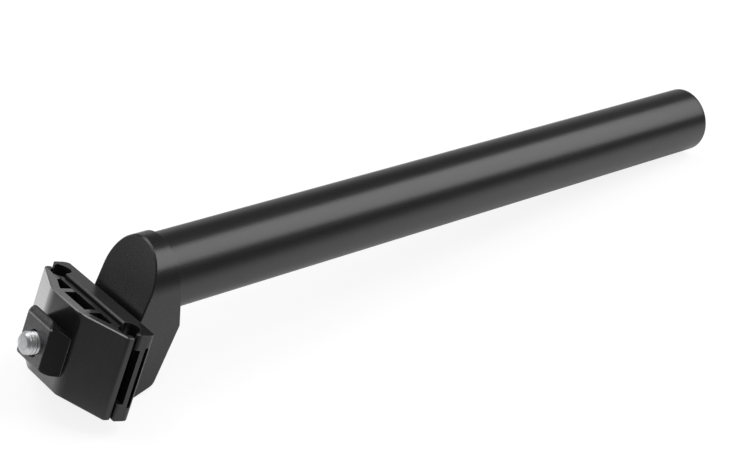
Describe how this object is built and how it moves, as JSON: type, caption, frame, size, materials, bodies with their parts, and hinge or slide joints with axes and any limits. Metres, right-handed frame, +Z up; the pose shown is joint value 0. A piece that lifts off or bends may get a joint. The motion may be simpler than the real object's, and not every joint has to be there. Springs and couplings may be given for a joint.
{
  "type": "bicycle seatpost",
  "caption": "Round alloy seatpost whose forged, set-back head carries a one-bolt saddle rail clamp that rocks on a toothed seat.",
  "frame": {"origin": "middle of the part's footprint on the surface that it lies on", "axes": "+X runs from the tube's open end towards the head, +Y across the bicycle, towards the rider's right as the post is fitted, +Z up; the post lies with its rear side down"},
  "size_m": [0.3286, 0.0564, 0.0512],
  "materials": {
    "tube_finish": "satin black anodised",
    "head_finish": "bead-blasted black anodised",
    "clamp_finish": "satin black anodised",
    "black_steel": "blackened",
    "zinc_steel": "zinc plated"
  },
  "bodies": {
    "post": {"post_tube": "tube_finish", "post_head": "head_finish"},
    "clamp": {"rail_cradle": "clamp_finish", "rail_cap": "clamp_finish", "clamp_nut": "black_steel", "clamp_bolt": "zinc_steel", "rocking_washer": "black_steel"}
  },
  "joints": [
    {"name": "saddle_tilt", "type": "hinge", "parent": "post", "child": "clamp", "pos_m": [0.0937, 0, -0.00083], "axis": [0, 1, 0], "range_deg": [-5, 5]}
  ]
}
